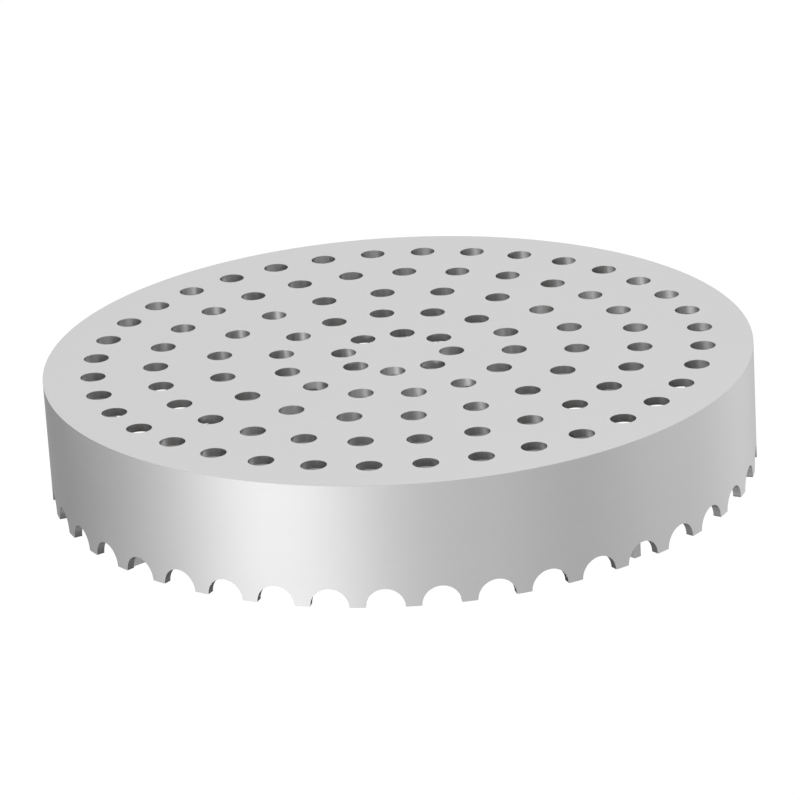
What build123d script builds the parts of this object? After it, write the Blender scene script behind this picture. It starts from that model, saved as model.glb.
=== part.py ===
from build123d import *
import math
import os

# Burner cap: a perforated disc on a notched, rolled skirt, stiffened inside by a
# cross of two half-lapped strips.  Everything is cut from one gauge of stainless
# sheet and joined by welds.  Millimetres and degrees, +Z up, origin at the centre
# of the plane that the skirt stands on.

# Driving dimensions
CAP_RADIUS = 85.0
CAP_HEIGHT = 29.5
SHEET = 2.0

# Flame holes: rings of equal pitch, each with its first hole on the +X axis
HOLE_RADIUS = 3.0
FIRST_RING_RADIUS = 13.0
RING_PITCH = 15.0
HOLES_PER_RING = (8, 14, 18, 27, 36)

# Half-round ports along the foot of the skirt
NOTCH_COUNT = 42
NOTCH_RADIUS = 4.5
FIRST_NOTCH_ANGLE = -45.0

# Cross brace
STRIP_ANGLES = (45.0, 135.0)
STRIP_END_GAP = 0.05
LAP_CLEARANCE = 0.05

# Welds
RIM_GROOVE = 1.0
SEAM_GAP = 1.0
SEAM_BEAD_WIDTH = 3.0
SEAM_BEAD_RISE = 0.5
FILLET_LEG = 2.0
END_FILLET_BOTTOM = 8.0
END_FILLET_TOP = 22.0
TOP_STITCH_LENGTH = 8.0
TOP_STITCH_RADII = (35.5, 65.5)
LAP_TACK_BOTTOM = 3.0
LAP_TACK_TOP = 9.0

# Derived sizes
INNER_RADIUS = CAP_RADIUS - SHEET
SKIRT_HEIGHT = CAP_HEIGHT - SHEET
NOTCH_PITCH = 360.0 / NOTCH_COUNT
SEAM_ANGLE = FIRST_NOTCH_ANGLE + 15.5 * NOTCH_PITCH
STRIP_HALF_LENGTH = math.sqrt(INNER_RADIUS**2 - (SHEET / 2) ** 2) - STRIP_END_GAP
ARM_ANGLES = [angle + turn for turn in (0, 180) for angle in STRIP_ANGLES]

BASE_ALIGN = (Align.CENTER, Align.CENTER, Align.MIN)


def turned(shape, angle):
    """The shape turned about the cap's axis."""
    return Rot(0, 0, angle) * shape


def prism(points, bottom, top):
    """A straight prism on a polygon of (x, y) points."""
    outline = make_face(Polyline(*points, close=True))
    return Pos(0, 0, bottom) * extrude(outline, top - bottom)


def ring_section(points):
    """A body of revolution about Z from a polygon of (radius, height) points."""
    section = make_face(Polyline(*[(r, 0, z) for r, z in points], close=True))
    return revolve(section, Axis.Z)


def flame_holes():
    """One drill for every flame hole, longer than the disc is thick."""
    drill = Cylinder(HOLE_RADIUS, 3 * SHEET)
    for ring, count in enumerate(HOLES_PER_RING):
        radius = FIRST_RING_RADIUS + ring * RING_PITCH
        for step in range(count):
            yield turned(Pos(radius, 0, CAP_HEIGHT - SHEET / 2) * drill, 360.0 * step / count)


def perforated_disc():
    """Top plate; its lower outer corner carries the upper half of the rim groove."""
    blank = ring_section([
        (0, SKIRT_HEIGHT),
        (CAP_RADIUS - RIM_GROOVE, SKIRT_HEIGHT),
        (CAP_RADIUS, SKIRT_HEIGHT + RIM_GROOVE),
        (CAP_RADIUS, CAP_HEIGHT),
        (0, CAP_HEIGHT),
    ])
    return blank - list(flame_holes())


def skirt_blank():
    """The skirt as a closed ring, with the lower half of the rim groove."""
    return ring_section([
        (INNER_RADIUS, 0),
        (CAP_RADIUS, 0),
        (CAP_RADIUS, SKIRT_HEIGHT - RIM_GROOVE),
        (CAP_RADIUS - RIM_GROOVE, SKIRT_HEIGHT),
        (INNER_RADIUS, SKIRT_HEIGHT),
    ])


def seam_cutter(width, inner, outer):
    """A radial slab across the skirt wall at the seam, full skirt height."""
    slab = Box(outer - inner, width, SKIRT_HEIGHT, align=(Align.MIN, Align.CENTER, Align.MIN))
    return turned(Pos(inner, 0, 0) * slab, SEAM_ANGLE)


def skirt_band():
    """Rolled strip with half-round ports at its foot and an open seam."""
    punch = Pos(CAP_RADIUS, 0, 0) * Rot(0, 90, 0) * Cylinder(NOTCH_RADIUS, 4 * SHEET)
    ports = [turned(punch, FIRST_NOTCH_ANGLE + step * NOTCH_PITCH) for step in range(NOTCH_COUNT)]
    seam = seam_cutter(SEAM_GAP, INNER_RADIUS - SHEET, CAP_RADIUS + SHEET)
    return skirt_blank() - [*ports, seam]


def seam_weld():
    """Weld metal that closes the skirt: flush outside, a low bead inside."""
    core = skirt_blank() & seam_cutter(SEAM_GAP, INNER_RADIUS - SHEET, CAP_RADIUS + SHEET)
    bead_zone = ring_section([
        (INNER_RADIUS - SEAM_BEAD_RISE, 0),
        (INNER_RADIUS, 0),
        (INNER_RADIUS, SKIRT_HEIGHT),
        (INNER_RADIUS - SEAM_BEAD_RISE, SKIRT_HEIGHT),
    ])
    bead = bead_zone & seam_cutter(SEAM_BEAD_WIDTH, INNER_RADIUS - SHEET, CAP_RADIUS)
    return core + bead


def rim_weld():
    """Ring of weld metal that fills the groove between disc and skirt, ground flush."""
    return ring_section([
        (CAP_RADIUS - RIM_GROOVE, SKIRT_HEIGHT),
        (CAP_RADIUS, SKIRT_HEIGHT - RIM_GROOVE),
        (CAP_RADIUS, SKIRT_HEIGHT + RIM_GROOVE),
    ])


def brace_strip(angle, slot_from_top):
    """One strip of the cross, with a half-depth slot that laps the other strip."""
    strip = Box(2 * STRIP_HALF_LENGTH, SHEET, SKIRT_HEIGHT, align=BASE_ALIGN)
    slot_depth = SKIRT_HEIGHT / 2 + LAP_CLEARANCE
    slot = Box(SHEET + 2 * LAP_CLEARANCE, 2 * SHEET, slot_depth, align=BASE_ALIGN)
    slot_bottom = SKIRT_HEIGHT - slot_depth if slot_from_top else 0
    return turned(strip - Pos(0, 0, slot_bottom) * slot, angle)


def end_fillet(side):
    """Upright fillet between an arm's side and the skirt wall, for the arm along +X."""
    face = side * SHEET / 2
    root = (INNER_RADIUS - FILLET_LEG, face)
    beyond = SHEET / 4
    corner = (INNER_RADIUS + beyond, face)
    toe = (INNER_RADIUS + beyond, face + side * (FILLET_LEG + beyond))
    wedge = prism([root, corner, toe], END_FILLET_BOTTOM, END_FILLET_TOP)
    return wedge & Cylinder(INNER_RADIUS, CAP_HEIGHT, align=BASE_ALIGN)


def brace_end_welds():
    """Both sides of all four arm ends, in one group of separate fillets."""
    return [turned(end_fillet(side), angle) for angle in ARM_ANGLES for side in (1, -1)]


def top_stitch(radius, side):
    """Short fillet between an arm's side and the underside of the disc, arm along +X."""
    face = side * SHEET / 2
    toe = face + side * FILLET_LEG
    section = make_face(Polyline(
        (0, face, SKIRT_HEIGHT),
        (0, toe, SKIRT_HEIGHT),
        (0, face, SKIRT_HEIGHT - FILLET_LEG),
        close=True,
    ))
    stitch = extrude(section, TOP_STITCH_LENGTH, dir=(1, 0, 0))
    return Pos(radius - TOP_STITCH_LENGTH / 2, 0, 0) * stitch


def brace_top_welds():
    """Staggered stitches under the disc, between the rings of holes."""
    inner, outer = TOP_STITCH_RADII
    for angle in ARM_ANGLES:
        yield turned(top_stitch(inner, 1), angle)
        yield turned(top_stitch(outer, -1), angle)


def lap_tacks():
    """Upright tacks in the four corners where the strips cross."""
    face = SHEET / 2
    toe = face + FILLET_LEG
    tack = prism([(face, face), (toe, face), (face, toe)], LAP_TACK_BOTTOM, LAP_TACK_TOP)
    return [turned(tack, STRIP_ANGLES[0] + quarter * 90) for quarter in range(4)]


def as_group(solids):
    """Separate solids kept together as one node."""
    return Compound(children=[solid for shape in solids for solid in shape.solids()])


NODES = {
    "perforated_disc": perforated_disc(),
    "skirt_band": skirt_band(),
    "skirt_seam_weld": seam_weld(),
    "rim_weld": rim_weld(),
    "brace_strip_lower": brace_strip(STRIP_ANGLES[0], slot_from_top=True),
    "brace_strip_upper": brace_strip(STRIP_ANGLES[1], slot_from_top=False),
    "brace_end_welds": as_group(brace_end_welds()),
    "brace_top_welds": as_group(brace_top_welds()),
    "brace_lap_tacks": as_group(lap_tacks()),
}

os.makedirs("parts", exist_ok=True)
for name, shape in NODES.items():
    export_step(shape, f"parts/{name}.step")
    print(name, len(shape.solids()), "solids", round(shape.volume, 1), "mm3")
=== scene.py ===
import math

import bmesh
import bpy
from mathutils import Matrix, Vector
from mathutils.geometry import delaunay_2d_cdt


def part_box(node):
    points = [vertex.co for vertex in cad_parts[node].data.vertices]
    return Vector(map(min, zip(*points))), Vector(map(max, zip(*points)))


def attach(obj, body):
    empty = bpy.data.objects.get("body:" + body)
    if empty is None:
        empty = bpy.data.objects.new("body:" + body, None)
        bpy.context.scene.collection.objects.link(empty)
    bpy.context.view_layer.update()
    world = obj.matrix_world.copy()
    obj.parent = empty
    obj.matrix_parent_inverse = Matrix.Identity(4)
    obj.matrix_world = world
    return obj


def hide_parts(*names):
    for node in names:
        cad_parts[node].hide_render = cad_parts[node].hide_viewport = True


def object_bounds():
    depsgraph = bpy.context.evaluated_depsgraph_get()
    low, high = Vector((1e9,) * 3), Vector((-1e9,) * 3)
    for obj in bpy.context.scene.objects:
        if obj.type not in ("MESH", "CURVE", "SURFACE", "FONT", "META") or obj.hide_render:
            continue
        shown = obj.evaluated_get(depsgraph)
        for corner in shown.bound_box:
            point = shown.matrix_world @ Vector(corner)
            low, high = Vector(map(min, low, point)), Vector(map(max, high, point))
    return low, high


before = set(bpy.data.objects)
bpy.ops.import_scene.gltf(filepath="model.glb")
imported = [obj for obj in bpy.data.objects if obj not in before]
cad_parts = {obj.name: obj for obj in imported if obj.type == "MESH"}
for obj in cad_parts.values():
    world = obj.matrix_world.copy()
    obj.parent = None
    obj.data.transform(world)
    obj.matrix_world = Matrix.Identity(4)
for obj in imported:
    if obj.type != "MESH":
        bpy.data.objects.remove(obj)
cad_low, cad_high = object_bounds()

# A burner cap: a perforated disc on a rolled skirt with half-round ports along its foot, a
# half-lapped cross inside, and the welds that hold them together.

# ---------------------------------------------------------------------------
# Sizes.  The CAD nodes give the envelope, and the layout of holes, ports and
# welds repeats the design's own driving dimensions, in metres and degrees.
# ---------------------------------------------------------------------------
MM = 0.001
disc_low, disc_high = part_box("perforated_disc")
skirt_low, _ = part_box("skirt_band")
_, strip_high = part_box("brace_strip_lower")

CAP_RADIUS = cad_high.x
TOP = disc_high.z
UNDERSIDE = disc_low.z
SHEET = TOP - UNDERSIDE
INNER_RADIUS = CAP_RADIUS - SHEET
FOOT = skirt_low.z
SKIRT_HEIGHT = UNDERSIDE - FOOT

HOLE_RADIUS = 3 * MM
FIRST_RING_RADIUS = 13 * MM
RING_PITCH = 15 * MM
HOLES_PER_RING = (8, 14, 18, 27, 36)

NOTCH_COUNT = 42
NOTCH_RADIUS = 4.5 * MM
FIRST_NOTCH_ANGLE = -45.0
NOTCH_PITCH = 360.0 / NOTCH_COUNT
SEAM_ANGLE = FIRST_NOTCH_ANGLE + 15.5 * NOTCH_PITCH

STRIP_ANGLES = (45.0, 135.0)
ARM_ANGLES = [angle + turn for turn in (0, 180) for angle in STRIP_ANGLES]
LAP_CLEARANCE = 0.05 * MM
# The lower strip lies along its box's diagonal, and a corner of its end touches the +X side
STRIP_HALF_LENGTH = strip_high.x * math.sqrt(2) - SHEET / 2

RIM_GROOVE = 1 * MM
SEAM_GAP = 1 * MM
SEAM_BEAD_WIDTH = 3 * MM
SEAM_BEAD_RISE = 0.5 * MM
FILLET_LEG = 2 * MM
END_FILLET_BOTTOM = FOOT + 8 * MM
END_FILLET_TOP = FOOT + 22 * MM
TOP_STITCH_LENGTH = 8 * MM
TOP_STITCH_RADII = (35.5 * MM, 65.5 * MM)
LAP_TACK_BOTTOM = FOOT + 3 * MM
LAP_TACK_TOP = FOOT + 9 * MM

# Sides of an arm, counter-clockwise first; the stitches take them by turns, from the centre out
ARM_SIDES = (1, -1)

# Edges as a deburring brush leaves them
EDGE_BREAK = 0.04 * MM
TOOTH_ROUND = 0.12 * MM

# Weld beads: frozen ripples, a slight crown, ends that shrink to a share of the bead's size,
# the share of its width that the seam's bead loses there, and how deep the roots reach
RIPPLE_PITCH = 0.9 * MM
RIPPLE_DEPTH = 0.07 * MM
RIPPLE_SWEEP = 0.7 * MM
BEAD_CROWN = 0.1
BEAD_END = 2.2 * MM
BEAD_END_SHARE = 0.1
SEAM_END_TAPER = 0.1
EMBED = 0.04 * MM

# Mesh fineness, and the heights at which the skirt's wall is divided
HOLE_SIDES = 48
RIM_SIDES = 12 * NOTCH_COUNT
EDGE_STEPS = 3
NOTCH_STEPS = 24
TOOTH_STEPS = 4
SKIRT_ROWS = (FOOT + 7 * MM, FOOT + 13 * MM, FOOT + 20 * MM)
BEAD_STEP = 0.16 * MM
BEAD_ARC_STEPS = 8

# Shading is split at folds above these angles.  The sheets' angle is below the first fold of a
# broken edge, so that flat and rolled faces keep their true shading up to their borders, and
# above the folds round a hole, a port or the rim.
SHEET_SMOOTH_ANGLE = 12.0
BEAD_SMOOTH_ANGLE = 50.0

AXIS = Vector((0, 0, 0))
UP = Vector((0, 0, 1))
ANGLE_TOLERANCE = 1e-6

# Settings of delaunay_2d_cdt: keep only the triangles inside the loops, and merge no points
INSIDE_LOOPS = 1
MERGE_DISTANCE = 1e-9

# Finish numbers: which material of its piece a face takes
SHEET_FACE = 0
CUT_FACE = 1
AS_LAID = 0
DRESSED = 1


# ---------------------------------------------------------------------------
# Mesh helpers
# ---------------------------------------------------------------------------
def polar(radius, degrees, height=0.0):
    angle = math.radians(degrees)
    return Vector((radius * math.cos(angle), radius * math.sin(angle), height))


def same_direction(first, second):
    """Whether two angles in degrees point the same way."""
    return abs((first - second + 180) % 360 - 180) < ANGLE_TOLERANCE


def broken_edge():
    """(inset from the wall, depth below the face) over a broken edge, from face to wall."""
    turns = [math.pi / 2 * step / EDGE_STEPS for step in range(EDGE_STEPS + 1)]
    return [(EDGE_BREAK * (1 - math.sin(turn)), EDGE_BREAK * (1 - math.cos(turn))) for turn in turns]


class Shape:
    """Vertices and faces that grow piece by piece; every face keeps a finish number."""

    def __init__(self):
        self.points = []
        self.faces = []
        self.finishes = []

    def add(self, point):
        self.points.append(Vector(point))
        return len(self.points) - 1

    def ring(self, points):
        return [self.add(point) for point in points]

    def turned_rings(self, centre, profile, sides):
        """A level ring of points for each (radius, height) of a turned profile."""
        angles = [360.0 * i / sides for i in range(sides)]
        return [self.ring([centre + polar(radius, angle, height) for angle in angles])
                for radius, height in profile]

    def face(self, corners, finish=0):
        self.faces.append(corners)
        self.finishes.append(finish)

    def bridge(self, ring_a, ring_b, finish=0, closed=True):
        """Quads between two rows of equal length."""
        count = len(ring_a)
        for i in range(count if closed else count - 1):
            j = (i + 1) % count
            self.face((ring_a[i], ring_a[j], ring_b[j], ring_b[i]), finish)

    def fill_flat(self, outer, holes, centres, upward):
        """Triangles on a level sheet face between an outer loop and the loops of round holes."""
        loops = [outer, *holes]
        indices = [index for loop in loops for index in loop]
        points = [self.points[index].to_2d() for index in indices]
        edges = []
        start = 0
        for loop in loops:
            edges += [(start + i, start + (i + 1) % len(loop)) for i in range(len(loop))]
            start += len(loop)
        found = delaunay_2d_cdt(points, edges, [], INSIDE_LOOPS, MERGE_DISTANCE)
        triangles, originals = found[2:4]
        hole_reach = HOLE_RADIUS + EDGE_BREAK
        for triangle in triangles:
            corners = [indices[originals[i][0]] for i in triangle]
            middle = sum((self.points[i].to_2d() for i in corners), Vector((0, 0))) / 3
            if any((middle - centre.to_2d()).length < hole_reach for centre in centres):
                continue
            self.face(corners if upward else corners[::-1], SHEET_FACE)

    def move(self, matrix):
        self.points = [matrix @ point for point in self.points]

    def mesh(self, name, materials, smooth_angle):
        """The shape as a mesh, with shading split at every fold above an angle."""
        mesh = bpy.data.meshes.new(name)
        mesh.from_pydata(self.points, [], self.faces)
        for material in materials:
            mesh.materials.append(material)
        mesh.polygons.foreach_set("material_index", self.finishes)
        builder = bmesh.new()
        builder.from_mesh(mesh)
        bmesh.ops.recalc_face_normals(builder, faces=builder.faces)
        builder.to_mesh(mesh)
        builder.free()
        mesh.shade_smooth()
        mesh.set_sharp_from_angle(angle=math.radians(smooth_angle))
        return mesh


def make_piece(shape, name, materials, node, smooth_angle=SHEET_SMOOTH_ANGLE):
    """A riding piece that stands for one CAD node."""
    piece = bpy.data.objects.new(name, shape.mesh(name, materials, smooth_angle))
    bpy.context.scene.collection.objects.link(piece)
    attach(piece, "root")
    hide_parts(node)


# ---------------------------------------------------------------------------
# Disc
# ---------------------------------------------------------------------------
def hole_centres():
    for ring, count in enumerate(HOLES_PER_RING):
        for step in range(count):
            yield polar(FIRST_RING_RADIUS + ring * RING_PITCH, 360.0 * step / count)


def make_disc(materials):
    """Perforated disc: broken edges on the rim and on both ends of every hole."""
    shape = Shape()
    centres = list(hole_centres())
    # A hole's lower edge mirrors its upper one
    hole = [(HOLE_RADIUS + inset, TOP - depth) for inset, depth in broken_edge()]
    hole += [(radius, UNDERSIDE + TOP - height) for radius, height in reversed(hole)]
    top_holes = []
    bottom_holes = []
    for centre in centres:
        rings = shape.turned_rings(centre, hole, HOLE_SIDES)
        for upper, lower in zip(rings, rings[1:]):
            shape.bridge(upper, lower, CUT_FACE)
        top_holes.append(rings[0])
        bottom_holes.append(rings[-1])

    rim = [(CAP_RADIUS - inset, TOP - depth) for inset, depth in broken_edge()]
    rim.append((CAP_RADIUS, UNDERSIDE + RIM_GROOVE))
    rim.append((CAP_RADIUS - RIM_GROOVE, UNDERSIDE))
    rings = shape.turned_rings(AXIS, rim, RIM_SIDES)
    for upper, lower in zip(rings, rings[1:]):
        shape.bridge(lower, upper, SHEET_FACE)
    shape.fill_flat(rings[0], top_holes, centres, upward=True)
    shape.fill_flat(rings[-1], bottom_holes, centres, upward=False)
    make_piece(shape, "flame_disc", materials, "perforated_disc")


# ---------------------------------------------------------------------------
# Skirt
# ---------------------------------------------------------------------------
def notch_edge():
    """The skirt's lower edge over half a pitch, from a port's apex to its tooth's corner.

    Each entry is (across, up, out_across, out_up): a place measured from the port's
    centre line and from the foot, and the direction that leaves the metal there.
    """
    edge = []
    reach = NOTCH_RADIUS + TOOTH_ROUND
    corner_across = math.sqrt(reach**2 - TOOTH_ROUND**2)
    lowest = math.asin(TOOTH_ROUND / reach)
    half_steps = NOTCH_STEPS // 2
    for step in range(half_steps + 1):
        turn = math.pi / 2 + (lowest - math.pi / 2) * step / half_steps
        c, s = math.cos(turn), math.sin(turn)
        edge.append((NOTCH_RADIUS * c, NOTCH_RADIUS * s, -c, -s))
    for step in range(1, EDGE_STEPS + 1):
        turn = math.pi + lowest + (math.pi / 2 - lowest) * step / EDGE_STEPS
        c, s = math.cos(turn), math.sin(turn)
        edge.append((corner_across + TOOTH_ROUND * c, TOOTH_ROUND * (1 + s), c, s))
    return edge


def skirt_columns():
    """Columns round the skirt: (port angle, mirror sign, edge entry, share along the tooth)."""
    edge = notch_edge()
    corner = edge[-1]
    shares = [step / TOOTH_STEPS for step in range(1, TOOTH_STEPS + 1)]
    first_port = SEAM_ANGLE + NOTCH_PITCH / 2
    columns = [(first_port, -1, corner, 1.0)]
    for notch in range(NOTCH_COUNT):
        port = first_port + notch * NOTCH_PITCH
        columns += [(port, -1, corner, share) for share in shares[-2::-1]]
        columns += [(port, -1, entry, 0.0) for entry in reversed(edge)]
        columns += [(port, 1, entry, 0.0) for entry in edge[1:]]
        columns += [(port, 1, corner, share) for share in shares]
    return columns


def column_point(column, radius, inward, height=None):
    """A point of one column at a radius, moved inward from the edge by a distance."""
    port, sign, (across, up, out_across, out_up), share = column
    angle = math.degrees(math.asin((across - inward * out_across) / radius))
    if share:
        limit = NOTCH_PITCH / 2
        if same_direction(port + sign * limit, SEAM_ANGLE):
            limit -= math.degrees(SEAM_GAP / 2 / radius)
        angle += share * (limit - angle)
    if height is None:
        height = FOOT + up - inward * out_up
    return polar(radius, port + sign * angle, height)


def column_points(column):
    """One column's loop: up the outer face, down the inner face and out across the cut edge."""
    outer = [(CAP_RADIUS, height) for height in SKIRT_ROWS]
    outer.append((CAP_RADIUS, UNDERSIDE - RIM_GROOVE))
    outer.append((CAP_RADIUS - RIM_GROOVE, UNDERSIDE))
    inner = [(INNER_RADIUS, height) for height in (UNDERSIDE, *reversed(SKIRT_ROWS))]
    points = [column_point(column, radius, EDGE_BREAK, height) for radius, height in outer + inner]
    for inset, depth in broken_edge():
        points.append(column_point(column, INNER_RADIUS + depth, inset))
    for inset, depth in reversed(broken_edge()):
        points.append(column_point(column, CAP_RADIUS - depth, inset))
    return points


def make_skirt(materials):
    """Rolled band: a broken edge follows the row of half-round ports."""
    shape = Shape()
    rows = [shape.ring(column_points(column)) for column in skirt_columns()]
    count = len(rows[0])
    # Each row ends with the outer broken edge, and the cut wall lies just before it
    cut_wall = count - len(broken_edge()) - 1
    for before, after in zip(rows, rows[1:]):
        for i in range(count):
            j = (i + 1) % count
            finish = CUT_FACE if i == cut_wall else SHEET_FACE
            shape.face((before[i], before[j], after[j], after[i]), finish)
    shape.face(rows[0], CUT_FACE)
    shape.face(rows[-1][::-1], CUT_FACE)
    make_piece(shape, "skirt_wall", materials, "skirt_band")


# ---------------------------------------------------------------------------
# Cross brace
# ---------------------------------------------------------------------------
def inset_outline(outline, distance):
    """A counter-clockwise outline of square corners, moved inward by a distance."""
    count = len(outline)
    moved = []
    for i, (x, y) in enumerate(outline):
        before = outline[i - 1]
        after = outline[(i + 1) % count]
        ahead = Vector((after[0] - x, after[1] - y)).normalized()
        behind = Vector((x - before[0], y - before[1])).normalized()
        inward = Vector((-ahead.y - behind.y, ahead.x + behind.x))
        moved.append((x + inward.x * distance, y + inward.y * distance))
    return moved


def strip_outline(slot_from_top):
    """A strip's side view, counter-clockwise from its lower left corner."""
    end = STRIP_HALF_LENGTH
    slot_depth = SKIRT_HEIGHT / 2 + LAP_CLEARANCE
    slot_half = SHEET / 2 + LAP_CLEARANCE
    left, right = (-end, 0), (end, 0)
    top_right, top_left = (end, SKIRT_HEIGHT), (-end, SKIRT_HEIGHT)
    if slot_from_top:
        mouth, floor = SKIRT_HEIGHT, SKIRT_HEIGHT - slot_depth
        slot = [(slot_half, mouth), (slot_half, floor), (-slot_half, floor), (-slot_half, mouth)]
        return [left, right, top_right, *slot, top_left]
    slot = [(-slot_half, 0), (-slot_half, slot_depth), (slot_half, slot_depth), (slot_half, 0)]
    return [left, *slot, right, top_right, top_left]


def make_strip(angle, slot_from_top, name, node, materials):
    """One strip of the cross: broken edges all round, and its half-lap slot."""
    outline = strip_outline(slot_from_top)
    profile = [(inset, SHEET / 2 - depth) for inset, depth in broken_edge()]
    profile += [(inset, -side) for inset, side in reversed(profile)]
    shape = Shape()
    rings = []
    for inset, side in profile:
        rings.append(shape.ring([(x, y, side) for x, y in inset_outline(outline, inset)]))
    for upper, lower in zip(rings, rings[1:]):
        shape.bridge(lower, upper, CUT_FACE)
    shape.fill_flat(rings[0], [], [], upward=True)
    shape.fill_flat(rings[-1], [], [], upward=False)
    upright = Matrix.Rotation(math.radians(angle), 4, "Z") @ Matrix.Rotation(math.pi / 2, 4, "X")
    shape.move(Matrix.Translation((0, 0, FOOT)) @ upright)
    make_piece(shape, name, materials, node)


# ---------------------------------------------------------------------------
# Welds
# ---------------------------------------------------------------------------
def ripple(along, crown):
    """How the frozen ripples lower a bead: rounded steps that trail behind at its sides."""
    phase = (along - RIPPLE_SWEEP * crown) / RIPPLE_PITCH
    return -RIPPLE_DEPTH * (1 - abs(math.sin(math.pi * phase)))


def bead_stations(length):
    """(distance along, share of full size) along a bead whose two ends round off."""
    steps = round(length / BEAD_STEP)
    for step in range(steps + 1):
        along = length * step / steps
        into_end = max(0.0, min(along, length - along, BEAD_END) / BEAD_END)
        roundness = math.sqrt(1 - (1 - into_end) ** 2)
        yield along, BEAD_END_SHARE + (1 - BEAD_END_SHARE) * roundness


def add_fillet(shape, corner, travel, length, leg_a, leg_b):
    """A rippled fillet bead that starts at a corner point and runs along the travel direction.

    leg_a and leg_b are unit directions from the corner along the two joined faces.
    """
    rings = []
    root = -EMBED * (leg_a + leg_b)
    for along, share in bead_stations(length):
        leg = FILLET_LEG * share
        here = corner + travel * along
        loop = [here + root]
        for step in range(BEAD_ARC_STEPS + 1):
            turn = math.pi / 2 * step / BEAD_ARC_STEPS
            c, s = math.cos(turn), math.sin(turn)
            crown = math.sin(2 * turn)
            reach = leg * (1 / (c + s) + BEAD_CROWN * crown) + share * crown * ripple(along, crown)
            loop.append(here + leg_a * (reach * c) + leg_b * (reach * s) + root * (1 - crown))
        rings.append(shape.ring(loop))
    for before, after in zip(rings, rings[1:]):
        shape.bridge(before, after)
    shape.face(rings[0])
    shape.face(rings[-1])


def arm_directions():
    """Unit directions (outward, towards the counter-clockwise side) of the four arms."""
    return [(polar(1, angle), polar(1, angle + 90)) for angle in ARM_ANGLES]


def bead_piece(shape, name, materials, node):
    """A piece of weld beads, shaded smoothly over their ripples."""
    make_piece(shape, name, materials, node, BEAD_SMOOTH_ANGLE)


def make_end_welds(materials):
    """Upright fillets on both sides of all four arm ends."""
    shape = Shape()
    length = END_FILLET_TOP - END_FILLET_BOTTOM
    for outward, sideways in arm_directions():
        for side in ARM_SIDES:
            corner = outward * INNER_RADIUS + sideways * (side * SHEET / 2) + UP * END_FILLET_BOTTOM
            add_fillet(shape, corner, UP, length, -outward, sideways * side)
    bead_piece(shape, "arm_end_fillets", materials, "brace_end_welds")


def make_top_welds(materials):
    """Staggered stitches between the arms and the underside of the disc."""
    shape = Shape()
    for outward, sideways in arm_directions():
        for radius, side in zip(TOP_STITCH_RADII, ARM_SIDES):
            start = radius - TOP_STITCH_LENGTH / 2
            corner = outward * start + sideways * (side * SHEET / 2) + UP * UNDERSIDE
            add_fillet(shape, corner, outward, TOP_STITCH_LENGTH, sideways * side, -UP)
    bead_piece(shape, "arm_top_stitches", materials, "brace_top_welds")


def make_lap_tacks(materials):
    """Upright tacks in the four corners where the strips cross."""
    shape = Shape()
    for outward, sideways in arm_directions():
        corner = (outward + sideways) * (SHEET / 2) + UP * LAP_TACK_BOTTOM
        add_fillet(shape, corner, UP, LAP_TACK_TOP - LAP_TACK_BOTTOM, outward, sideways)
    bead_piece(shape, "cross_tacks", materials, "brace_lap_tacks")


def make_rim_weld(materials):
    """Weld ring in its groove, dressed flush with disc and skirt."""
    shape = Shape()
    profile = [
        (CAP_RADIUS, UNDERSIDE - RIM_GROOVE),
        (CAP_RADIUS, UNDERSIDE + RIM_GROOVE),
        (CAP_RADIUS - RIM_GROOVE, UNDERSIDE),
    ]
    rings = shape.turned_rings(AXIS, profile, RIM_SIDES)
    for before, after in zip(rings, rings[1:] + rings[:1]):
        shape.bridge(after, before)
    make_piece(shape, "rim_weld_ring", materials, "rim_weld")


def make_seam_weld(materials):
    """Skirt seam: weld metal through the wall, dressed flush outside, a rippled bead inside."""
    shape = Shape()
    half_gap = SEAM_GAP / 2
    core = [
        (INNER_RADIUS + EMBED, -half_gap),
        (CAP_RADIUS, -half_gap),
        (CAP_RADIUS, 0),
        (CAP_RADIUS, half_gap),
        (INNER_RADIUS + EMBED, half_gap),
    ]
    rings = []
    for along, share in bead_stations(SKIRT_HEIGHT):
        half_bead = SEAM_BEAD_WIDTH / 2 * (1 - SEAM_END_TAPER * (1 - share))
        bead = []
        for step in range(2 * BEAD_ARC_STEPS + 1):
            across = 1 - step / BEAD_ARC_STEPS
            crown = 1 - across**2
            rise = crown * share * (SEAM_BEAD_RISE + ripple(along, crown))
            bead.append((INNER_RADIUS - rise + EMBED * (1 - crown), half_bead * across))
        rings.append(shape.ring([
            polar(radius, SEAM_ANGLE + math.degrees(across / radius), FOOT + along)
            for radius, across in bead + core
        ]))
    count = len(bead) + len(core)
    for before, after in zip(rings, rings[1:]):
        for i in range(count):
            j = (i + 1) % count
            finish = DRESSED if len(bead) <= i < count - 1 else AS_LAID
            shape.face((before[i], before[j], after[j], after[i]), finish)
    shape.face(rings[0])
    shape.face(rings[-1])
    bead_piece(shape, "seam_weld_bead", materials, "skirt_seam_weld")


# ---------------------------------------------------------------------------
# Materials.  Every one is a clean, neutral stainless steel.
# ---------------------------------------------------------------------------
STEEL = (0.62, 0.62, 0.62)
# The brace's sheet is painted darker: painted shade under the disc inside the cap
BRACE_STEEL_WITH_PAINTED_SHADE = (0.50, 0.50, 0.50)
HOLE_STEEL = (0.60, 0.60, 0.60)
# The ports' walls: a duller cut-wall steel, made darker still with painted shade inside the ports
PORT_STEEL_WITH_PAINTED_SHADE = (0.39, 0.39, 0.39)
# The brace's cut edges carry the same painted shade
STRIP_EDGE_STEEL_WITH_PAINTED_SHADE = (0.47, 0.47, 0.47)
WELD_STEEL = (0.60, 0.59, 0.57)
BLUE_OXIDE = (0.46, 0.45, 0.47)
STRAW_OXIDE = (0.64, 0.57, 0.46)

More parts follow.
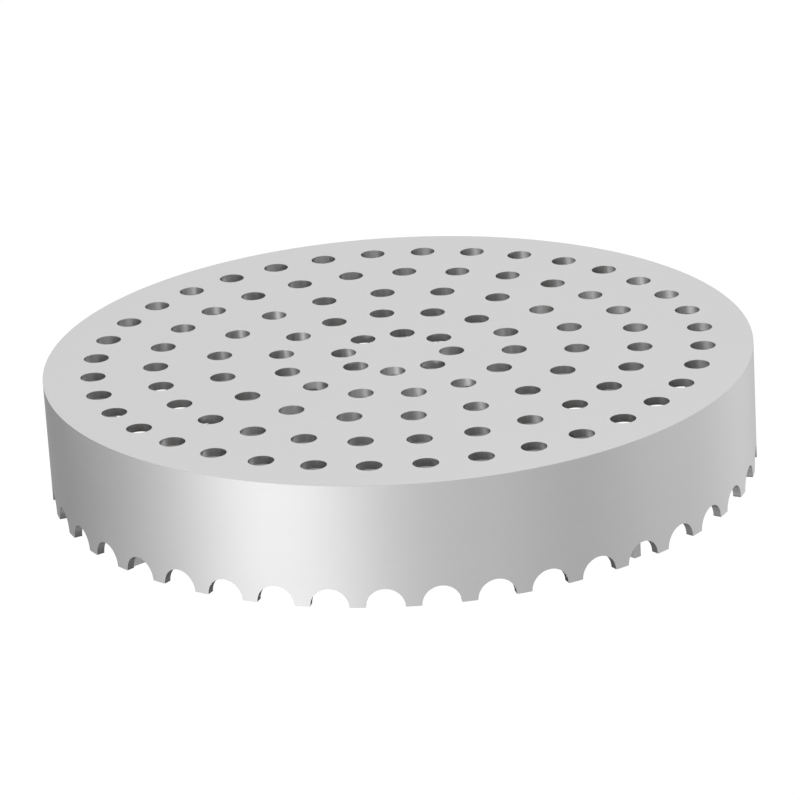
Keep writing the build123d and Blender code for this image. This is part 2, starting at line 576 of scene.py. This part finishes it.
# Painted shade: the skirt's inside is painted darker, its brightness this share of the outside's; and
# painted light and shade on the ports' walls, lighter at their tops and darker at the foot by this
# factor
SKIRT_INSIDE_SHADE = 0.5
PORT_PAINTED_LIGHT_AND_SHADE = 1.9

# Black takes away the gloss that a metal gains at a glancing angle
CUT_EDGE_TINT = (0.0, 0.0, 0.0, 1.0)

SHEET_ROUGHNESS = 0.45
CUT_ROUGHNESS = 0.39
WELD_ROUGHNESS = 0.37

# Noise patterns: scales per metre, the stretch along the grain, and where most values lie
GRAIN_SCALE = 6000
STREAK_SCALE = 900
CLOUD_SCALE = 45
STRIATION_SCALE = 4500
SPECKLE_SCALE = 9000
WELD_PATCH_SCALE = 700
WELD_GRAIN_SCALE = 5000
GRAIN_STRETCH = 0.02
NOISE_LOW = 0.3
NOISE_MIDDLE = 0.5
NOISE_HIGH = 0.7

# How far each pattern moves the colour's shade
GRAIN_SHADE = 0.015
STREAK_SHADE = 0.004
CLOUD_SHADE = 0.006
STRIATION_SHADE = 0.05
SPECKLE_SHADE = 0.03
WELD_SHADE = 0.05

# How far each pattern moves the roughness
GRAIN_ROUGHNESS = 0.02
CLOUD_ROUGHNESS = 0.015
STRIATION_ROUGHNESS = 0.03
PATCH_ROUGHNESS = 0.07

# Bump: the fainter patterns' shares of the main one's height, and the depths
STREAK_HEIGHT = 0.15
SPECKLE_HEIGHT = 0.2
SHEET_BUMP = 0.004 * MM
CUT_BUMP = 0.01 * MM
WELD_BUMP = 0.006 * MM

# Weld metal's colours by share of the way from PATCH_LOW to PATCH_HIGH in its noise
PATCH_LOW = 0.35
PATCH_HIGH = 0.65
PATCH_COLOURS = (
    (0.0, BLUE_OXIDE),
    (0.45, WELD_STEEL),
    (1.0, STRAW_OXIDE),
)

# Heat tint: how far it reaches, how far it keeps its full strength, that strength, how much
# its border wanders, and its colours by share of its reach
TINT_REACH = 9 * MM
TINT_FULL = 3 * MM
TINT_STRENGTH = 0.6
TINT_WANDER = 4 * MM
TINT_BANDS = (
    (0.16, (0.43, 0.43, 0.46)),
    (0.32, (0.47, 0.45, 0.51)),
    (0.46, (0.56, 0.47, 0.42)),
    (0.66, (0.66, 0.58, 0.44)),
    (0.95, STEEL),
)

# How much faster the tint's distance grows into a sheet's thickness and to its far side
INTO_SHEET = 5.0
TO_FAR_SIDE = 2.5


class Graph:
    """A node tree, with short calls for the few kinds of node used here."""

    def __init__(self, tree):
        self.tree = tree

    def feed(self, socket, value):
        if isinstance(value, bpy.types.NodeSocket):
            self.tree.links.new(value, socket)
        else:
            socket.default_value = value

    def node(self, kind, *values, **settings):
        """A node with its settings made and its first inputs set or linked, in order."""
        made = self.tree.nodes.new(kind)
        for name, value in settings.items():
            setattr(made, name, value)
        for socket, value in zip(made.inputs, values):
            self.feed(socket, value)
        return made

    def math(self, operation, *values):
        return self.node("ShaderNodeMath", *values, operation=operation).outputs[0]

    def chain(self, operation, values):
        """One operation over any number of values, from the first to the last."""
        result, *rest = values
        for value in rest:
            result = self.math(operation, result, value)
        return result

    def add(self, *values):
        return self.chain("ADD", values)

    def times(self, *values):
        return self.chain("MULTIPLY", values)

    def largest(self, *values):
        return self.chain("MAXIMUM", values)

    def smallest(self, *values):
        return self.chain("MINIMUM", values)

    def beyond(self, value, start):
        """How far a value is past its start, and negative before it."""
        return self.math("SUBTRACT", value, start)

    def length(self, *sides):
        squares = [self.times(side, side) for side in sides]
        return self.math("SQRT", self.add(*squares))

    def dot(self, vector, direction):
        node = self.node("ShaderNodeVectorMath", vector, direction, operation="DOT_PRODUCT")
        return node.outputs["Value"]

    def join(self, x, y, z):
        return self.node("ShaderNodeCombineXYZ", x, y, z).outputs[0]

    def scaled(self, vector, factor):
        node = self.node("ShaderNodeVectorMath", vector, operation="SCALE")
        self.feed(node.inputs["Scale"], factor)
        return node.outputs[0]

    def noise(self, vector, scale, detail):
        node = self.node("ShaderNodeTexNoise", vector)
        node.inputs["Scale"].default_value = scale
        node.inputs["Detail"].default_value = detail
        return node.outputs["Fac"]

    def range(self, value, low, high, to_low, to_high):
        """The interval from low to high mapped to another; what lies outside stays at its ends."""
        return self.node("ShaderNodeMapRange", value, low, high, to_low, to_high).outputs[0]

    def vary(self, noise, middle, swing):
        """A value that follows a noise to both sides of its middle."""
        return self.range(noise, NOISE_LOW, NOISE_HIGH, middle - swing, middle + swing)

    def ramp(self, value, stops):
        """Colours that change from stop to stop, each of which is (position, colour)."""
        node = self.node("ShaderNodeValToRGB", value)
        marks = node.color_ramp.elements
        while len(marks) < len(stops):
            marks.new(0.5)
        for mark, (position, colour) in zip(marks, stops):
            mark.position = position
            mark.color = (*colour, 1)
        return node.outputs["Color"]

    def mix(self, factor, first, second):
        """A blend of two colours; the node's sockets 6 and 7 in and 2 out are its colour ones."""
        node = self.node("ShaderNodeMix", factor, data_type="RGBA")
        self.feed(node.inputs[6], first)
        self.feed(node.inputs[7], second)
        return node.outputs[2]

    def bump(self, height, distance):
        node = self.node("ShaderNodeBump")
        node.inputs["Strength"].default_value = 1
        node.inputs["Distance"].default_value = distance
        self.feed(node.inputs["Height"], height)
        return node.outputs["Normal"]


class Steel(Graph):
    """A metal material's tree, with the cap's own coordinates worked out from the shared frame."""

    def __init__(self, name):
        self.material = bpy.data.materials.new(name)
        self.material.use_nodes = True
        super().__init__(self.material.node_tree)
        self.shader = self.tree.nodes["Principled BSDF"]
        self.shader.inputs["Metallic"].default_value = 1
        self.place = self.node("ShaderNodeTexCoord").outputs["Object"]
        self.x = self.dot(self.place, (1, 0, 0))
        self.y = self.dot(self.place, (0, 1, 0))
        self.z = self.dot(self.place, (0, 0, 1))

    def radius(self):
        return self.length(self.x, self.y)

    def round_skirt(self):
        """Distance round the skirt; it jumps at the seam, where the rolled strip's grain ends."""
        away = self.dot(self.place, polar(-1, SEAM_ANGLE))
        beside = self.dot(self.place, polar(-1, SEAM_ANGLE + 90))
        return self.times(self.math("ARCTAN2", beside, away), CAP_RADIUS)

    def in_arm(self):
        """Distances along the nearest arm of the cross and towards its counter-clockwise side."""
        first = self.dot(self.place, polar(1, STRIP_ANGLES[0]))
        second = self.dot(self.place, polar(1, STRIP_ANGLES[1]))
        first_reach = self.math("ABSOLUTE", first)
        second_reach = self.math("ABSOLUTE", second)
        on_first = self.math("GREATER_THAN", first_reach, second_reach)
        side_of_first = self.times(self.math("SIGN", first), second)
        side_of_second = self.times(self.math("SIGN", second), self.times(first, -1.0))
        change = self.beyond(side_of_first, side_of_second)
        side = self.add(side_of_second, self.times(on_first, change))
        return self.largest(first_reach, second_reach), side

    def outside(self, value, low, high):
        """How far a value lies outside an interval."""
        return self.largest(self.beyond(low, value), self.beyond(value, high), 0.0)

    def finish(self, colour, roughness, height, distance):
        self.feed(self.shader.inputs["Base Color"], colour)
        self.feed(self.shader.inputs["Roughness"], roughness)
        self.feed(self.shader.inputs["Normal"], self.bump(height, distance))
        return self.material


def weld_distance(steel):
    """Distance from the nearest weld line inside the cap; it grows fast through the sheets."""
    along, side = steel.in_arm()
    beside = steel.largest(steel.beyond(steel.math("ABSOLUTE", side), SHEET / 2), 0.0)
    before_wall = steel.beyond(INNER_RADIUS, along)
    end_height = steel.outside(steel.z, END_FILLET_BOTTOM, END_FILLET_TOP)
    distances = [steel.length(before_wall, beside, end_height)]

    below_disc = steel.beyond(UNDERSIDE, steel.z)
    for radius, stitched_side in zip(TOP_STITCH_RADII, ARM_SIDES):
        past_end = steel.outside(along, radius - TOP_STITCH_LENGTH / 2, radius + TOP_STITCH_LENGTH / 2)
        clear = steel.beyond(steel.times(side, stitched_side), SHEET / 2)
        across = steel.largest(clear, steel.times(clear, -TO_FAR_SIDE))
        distances.append(steel.length(past_end, across, below_disc))

    tack_height = steel.outside(steel.z, LAP_TACK_BOTTOM, LAP_TACK_TOP)
    distances.append(steel.length(along, beside, tack_height))

    before_seam = steel.beyond(INNER_RADIUS, steel.dot(steel.place, polar(1, SEAM_ANGLE)))
    along_wall = steel.dot(steel.place, polar(1, SEAM_ANGLE + 90))
    beside_seam = steel.outside(along_wall, -SEAM_BEAD_WIDTH / 2, SEAM_BEAD_WIDTH / 2)
    distances.append(steel.length(beside_seam, before_seam))

    into_wall = steel.largest(steel.beyond(steel.radius(), INNER_RADIUS), 0.0)
    into_disc = steel.largest(steel.beyond(steel.z, UNDERSIDE), 0.0)
    growth = steel.times(steel.add(into_wall, into_disc), INTO_SHEET)
    return steel.add(steel.smallest(*distances), growth)


def heat_tinted(steel, colour, cloud):
    """Straw and dull blue bands beside the welds, faint, as brushing leaves them."""
    wander = steel.times(steel.beyond(cloud, NOISE_MIDDLE), TINT_WANDER)
    distance = steel.add(weld_distance(steel), wander)
    bands = steel.ramp(steel.range(distance, 0.0, TINT_REACH, 0.0, 1.0), TINT_BANDS)
    strength = steel.range(distance, TINT_FULL, TINT_REACH, TINT_STRENGTH, 0.0)
    return steel.mix(strength, colour, bands)


def sheet_steel(name, grain_place, sheet_colour=STEEL, inside=1.0):
    """Satin sheet: a fine brushed grain, faint streaks and clouds, heat tint near the welds.

    The skirt's inner face is painted darker, to the share of its outer face's brightness that inside
    gives: painted shade inside the cap.
    """
    steel = Steel(name)
    place = grain_place(steel)
    grain = steel.noise(place, GRAIN_SCALE, detail=3)
    streak = steel.noise(place, STREAK_SCALE, detail=2)
    cloud = steel.noise(steel.place, CLOUD_SCALE, detail=3)
    shade = steel.add(
        steel.vary(grain, 1.0, GRAIN_SHADE),
        steel.vary(streak, 0.0, STREAK_SHADE),
        steel.vary(cloud, 0.0, CLOUD_SHADE),
    )
    # Painted shade: the faces that look into the cap are darkened by this share
    painted_inside_shade = steel.range(steel.radius(), INNER_RADIUS, CAP_RADIUS, inside, 1.0)
    colour = steel.scaled(sheet_colour, steel.times(shade, painted_inside_shade))
    roughness = steel.add(
        steel.vary(grain, SHEET_ROUGHNESS, GRAIN_ROUGHNESS),
        steel.vary(cloud, 0.0, CLOUD_ROUGHNESS),
    )
    height = steel.add(grain, steel.times(streak, STREAK_HEIGHT))
    return steel.finish(heat_tinted(steel, colour, cloud), roughness, height, SHEET_BUMP)


def cut_steel(name, cut_place, colour, painted_light_and_shade_factor=1.0):
    """Cut walls: duller, with fine striations through the sheet.

    A factor above 1 paints light on a port's wall by that factor at the top and paints shade as much at
    the foot.
    """
    steel = Steel(name)
    steel.shader.inputs["Specular Tint"].default_value = CUT_EDGE_TINT
    striation = steel.noise(cut_place(steel), STRIATION_SCALE, detail=2)
    speckle = steel.noise(steel.place, SPECKLE_SCALE, detail=1)
    shade = steel.add(
        steel.vary(striation, 1.0, STRIATION_SHADE),
        steel.vary(speckle, 0.0, SPECKLE_SHADE),
    )
    # Painted light and shade: a port's wall is lighter at the top and darker towards the foot
    painted_light_and_shade = steel.range(steel.z, FOOT, FOOT + NOTCH_RADIUS, 1 / painted_light_and_shade_factor, painted_light_and_shade_factor)
    roughness = steel.vary(striation, CUT_ROUGHNESS, STRIATION_ROUGHNESS)
    height = steel.add(striation, steel.times(speckle, SPECKLE_HEIGHT))
    return steel.finish(steel.scaled(colour, steel.times(shade, painted_light_and_shade)), roughness, height, CUT_BUMP)


def weld_steel(name):
    """Weld metal as laid: smoother than the sheet, with patches of straw and blue-grey oxide."""
    steel = Steel(name)
    patch = steel.noise(steel.place, WELD_PATCH_SCALE, detail=3)
    grain = steel.noise(steel.place, WELD_GRAIN_SCALE, detail=2)
    oxide = steel.ramp(steel.range(patch, PATCH_LOW, PATCH_HIGH, 0.0, 1.0), PATCH_COLOURS)
    colour = steel.scaled(oxide, steel.vary(grain, 1.0, WELD_SHADE))
    roughness = steel.vary(patch, WELD_ROUGHNESS, PATCH_ROUGHNESS)
    return steel.finish(colour, roughness, grain, WELD_BUMP)


# Places where each kind of sheet and cut reads its noise, shrunk along the grain to draw it out
def level_grain(steel):
    return steel.join(steel.times(steel.x, GRAIN_STRETCH), steel.y, steel.z)


def rolled_grain(steel):
    return steel.join(steel.times(steel.round_skirt(), GRAIN_STRETCH), steel.radius(), steel.z)


def strip_grain(steel):
    return steel.join(steel.times(steel.x, GRAIN_STRETCH), steel.times(steel.y, GRAIN_STRETCH), steel.z)


def upright_cut(steel):
    return steel.join(steel.x, steel.y, steel.times(steel.z, GRAIN_STRETCH))


def radial_cut(steel):
    return steel.join(steel.round_skirt(), steel.times(steel.radius(), GRAIN_STRETCH), steel.z)


def crosswise_cut(steel):
    along, side = steel.in_arm()
    return steel.join(along, steel.times(side, GRAIN_STRETCH), steel.z)


# ---------------------------------------------------------------------------
# Stage
# ---------------------------------------------------------------------------
FLOOR_HALF = 6.0
FLOOR_STEPS = 8

# A little above full white, so that the ground is plain white everywhere
PLAIN_WHITE = 1.02
LIGHT_COLOUR = (1, 1, 1, 1)


def make_floor():
    """A plain white floor that shows from above and lets every view from below through."""
    shape = Shape()
    marks = [FLOOR_HALF * (2 * i / FLOOR_STEPS - 1) for i in range(FLOOR_STEPS + 1)]
    rows = [shape.ring([(x, y, FOOT) for x in marks]) for y in marks]
    for before, after in zip(rows, rows[1:]):
        shape.bridge(before, after, closed=False)
    material = bpy.data.materials.new("pale_floor")
    material.use_nodes = True
    material.node_tree.nodes.clear()
    graph = Graph(material.node_tree)
    glow = graph.node("ShaderNodeEmission", LIGHT_COLOUR, PLAIN_WHITE).outputs[0]
    clear = graph.node("ShaderNodeBsdfTransparent").outputs[0]
    below = graph.node("ShaderNodeNewGeometry").outputs["Backfacing"]
    surface = graph.node("ShaderNodeMixShader", below, glow, clear).outputs[0]
    graph.node("ShaderNodeOutputMaterial", surface)
    mesh = bpy.data.meshes.new("floor")
    mesh.from_pydata(shape.points, [], shape.faces)
    mesh.materials.append(material)
    floor = bpy.data.objects.new("floor", mesh)
    bpy.context.scene.collection.objects.link(floor)
    floor.visible_diffuse = False
    floor.visible_glossy = False
    floor.visible_transmission = False
    floor.visible_shadow = False


# The camera stands off the front, a little to the right, and looks down on the cap.  Its
# distance is from the cap's axis, its height is above the top face, its turn is how far it
# aims beside the axis, and its lens and sensor are in millimetres.
CAMERA_DISTANCE = 1006.19 * MM
CAMERA_HEIGHT = 371.08 * MM
CAMERA_AZIMUTH = 6.19
CAMERA_ELEVATION = 20.8596
CAMERA_ROLL = -3.3926
CAMERA_TURN = 0.0053
CAMERA_LENS = 201.56
SENSOR_WIDTH = 36
CLIP_NEAR = 0.01
CLIP_FAR = 50


def make_camera():
    camera = bpy.data.objects.new("camera", bpy.data.cameras.new("camera"))
    camera.data.sensor_width = SENSOR_WIDTH
    camera.data.lens = CAMERA_LENS
    camera.data.clip_start = CLIP_NEAR
    camera.data.clip_end = CLIP_FAR
    camera.location = polar(CAMERA_DISTANCE, CAMERA_AZIMUTH - 90, TOP + CAMERA_HEIGHT)
    fall = math.radians(CAMERA_ELEVATION)
    forward = polar(-math.cos(fall), CAMERA_AZIMUTH - 90 + CAMERA_TURN, -math.sin(fall))
    right = forward.cross(UP).normalized()
    level = Matrix((right, right.cross(forward), -forward)).transposed()
    camera.rotation_euler = (level @ Matrix.Rotation(math.radians(CAMERA_ROLL), 3, "Z")).to_euler()
    bpy.context.scene.collection.objects.link(camera)
    bpy.context.scene.camera = camera


# Soft lights all round, each a broad glow:
# (azimuth counter-clockwise from +X, elevation, tightness, strength)
SOFT_LIGHTS = (
    (-121, -13, 7, 2.15),   # key, front left
    (-57, -10, 9, 1.1),     # front
    (0, -6, 10, 1.25),      # right
    (48, -7, 11, 1.45),     # back right
    (94, 42, 12, 1.25),     # back, over the top face
    (100, -14, 6, 0.4),     # back, low
    (184, -3, 3, 0.65),     # left
    (0, 90, 0.6, 0.6),      # dome overhead
    (0, -90, 4, 0.65),      # up from below
)


def make_world():
    """The soft lights, and plain white where the camera sees past the floor."""
    world = bpy.data.worlds.new("studio")
    bpy.context.scene.world = world
    world.use_nodes = True
    world.node_tree.nodes.clear()
    graph = Graph(world.node_tree)
    direction = graph.node("ShaderNodeTexCoord").outputs["Generated"]
    glows = []
    for azimuth, elevation, tightness, strength in SOFT_LIGHTS:
        rise = math.radians(elevation)
        toward = graph.dot(direction, polar(math.cos(rise), azimuth, math.sin(rise)))
        glow = graph.math("POWER", graph.largest(toward, 0.0), tightness)
        glows.append(graph.times(glow, strength))
    light = graph.node("ShaderNodeBackground", LIGHT_COLOUR, graph.add(*glows)).outputs[0]
    white = graph.node("ShaderNodeBackground", LIGHT_COLOUR, PLAIN_WHITE).outputs[0]
    seen = graph.node("ShaderNodeLightPath").outputs["Is Camera Ray"]
    surface = graph.node("ShaderNodeMixShader", seen, light, white).outputs[0]
    graph.node("ShaderNodeOutputWorld", surface)


# ---------------------------------------------------------------------------
# The cap on its stage
# ---------------------------------------------------------------------------
disc_sheet = [
    sheet_steel("disc_satin", level_grain),
    cut_steel("disc_cut_wall", upright_cut, HOLE_STEEL),
]
skirt_sheet = [
    sheet_steel("skirt_satin", rolled_grain, STEEL, SKIRT_INSIDE_SHADE),
    cut_steel("skirt_cut_wall", radial_cut, PORT_STEEL_WITH_PAINTED_SHADE, PORT_PAINTED_LIGHT_AND_SHADE),
]
brace_sheet = [
    sheet_steel("brace_satin", strip_grain, BRACE_STEEL_WITH_PAINTED_SHADE),
    cut_steel("brace_cut_wall", crosswise_cut, STRIP_EDGE_STEEL_WITH_PAINTED_SHADE),
]
# Weld metal that is dressed flush is brushed together with the skirt
laid_weld = [weld_steel("weld_bead"), skirt_sheet[SHEET_FACE]]
dressed_weld = [skirt_sheet[SHEET_FACE]]

make_disc(disc_sheet)
make_skirt(skirt_sheet)
make_rim_weld(dressed_weld)
make_seam_weld(laid_weld)
make_strip(STRIP_ANGLES[0], True, "cross_strip_lower", "brace_strip_lower", brace_sheet)
make_strip(STRIP_ANGLES[1], False, "cross_strip_upper", "brace_strip_upper", brace_sheet)
make_end_welds(laid_weld)
make_top_welds(laid_weld)
make_lap_tacks(laid_weld)

make_floor()
make_camera()
make_world()
bpy.context.scene.view_settings.view_transform = "Standard"
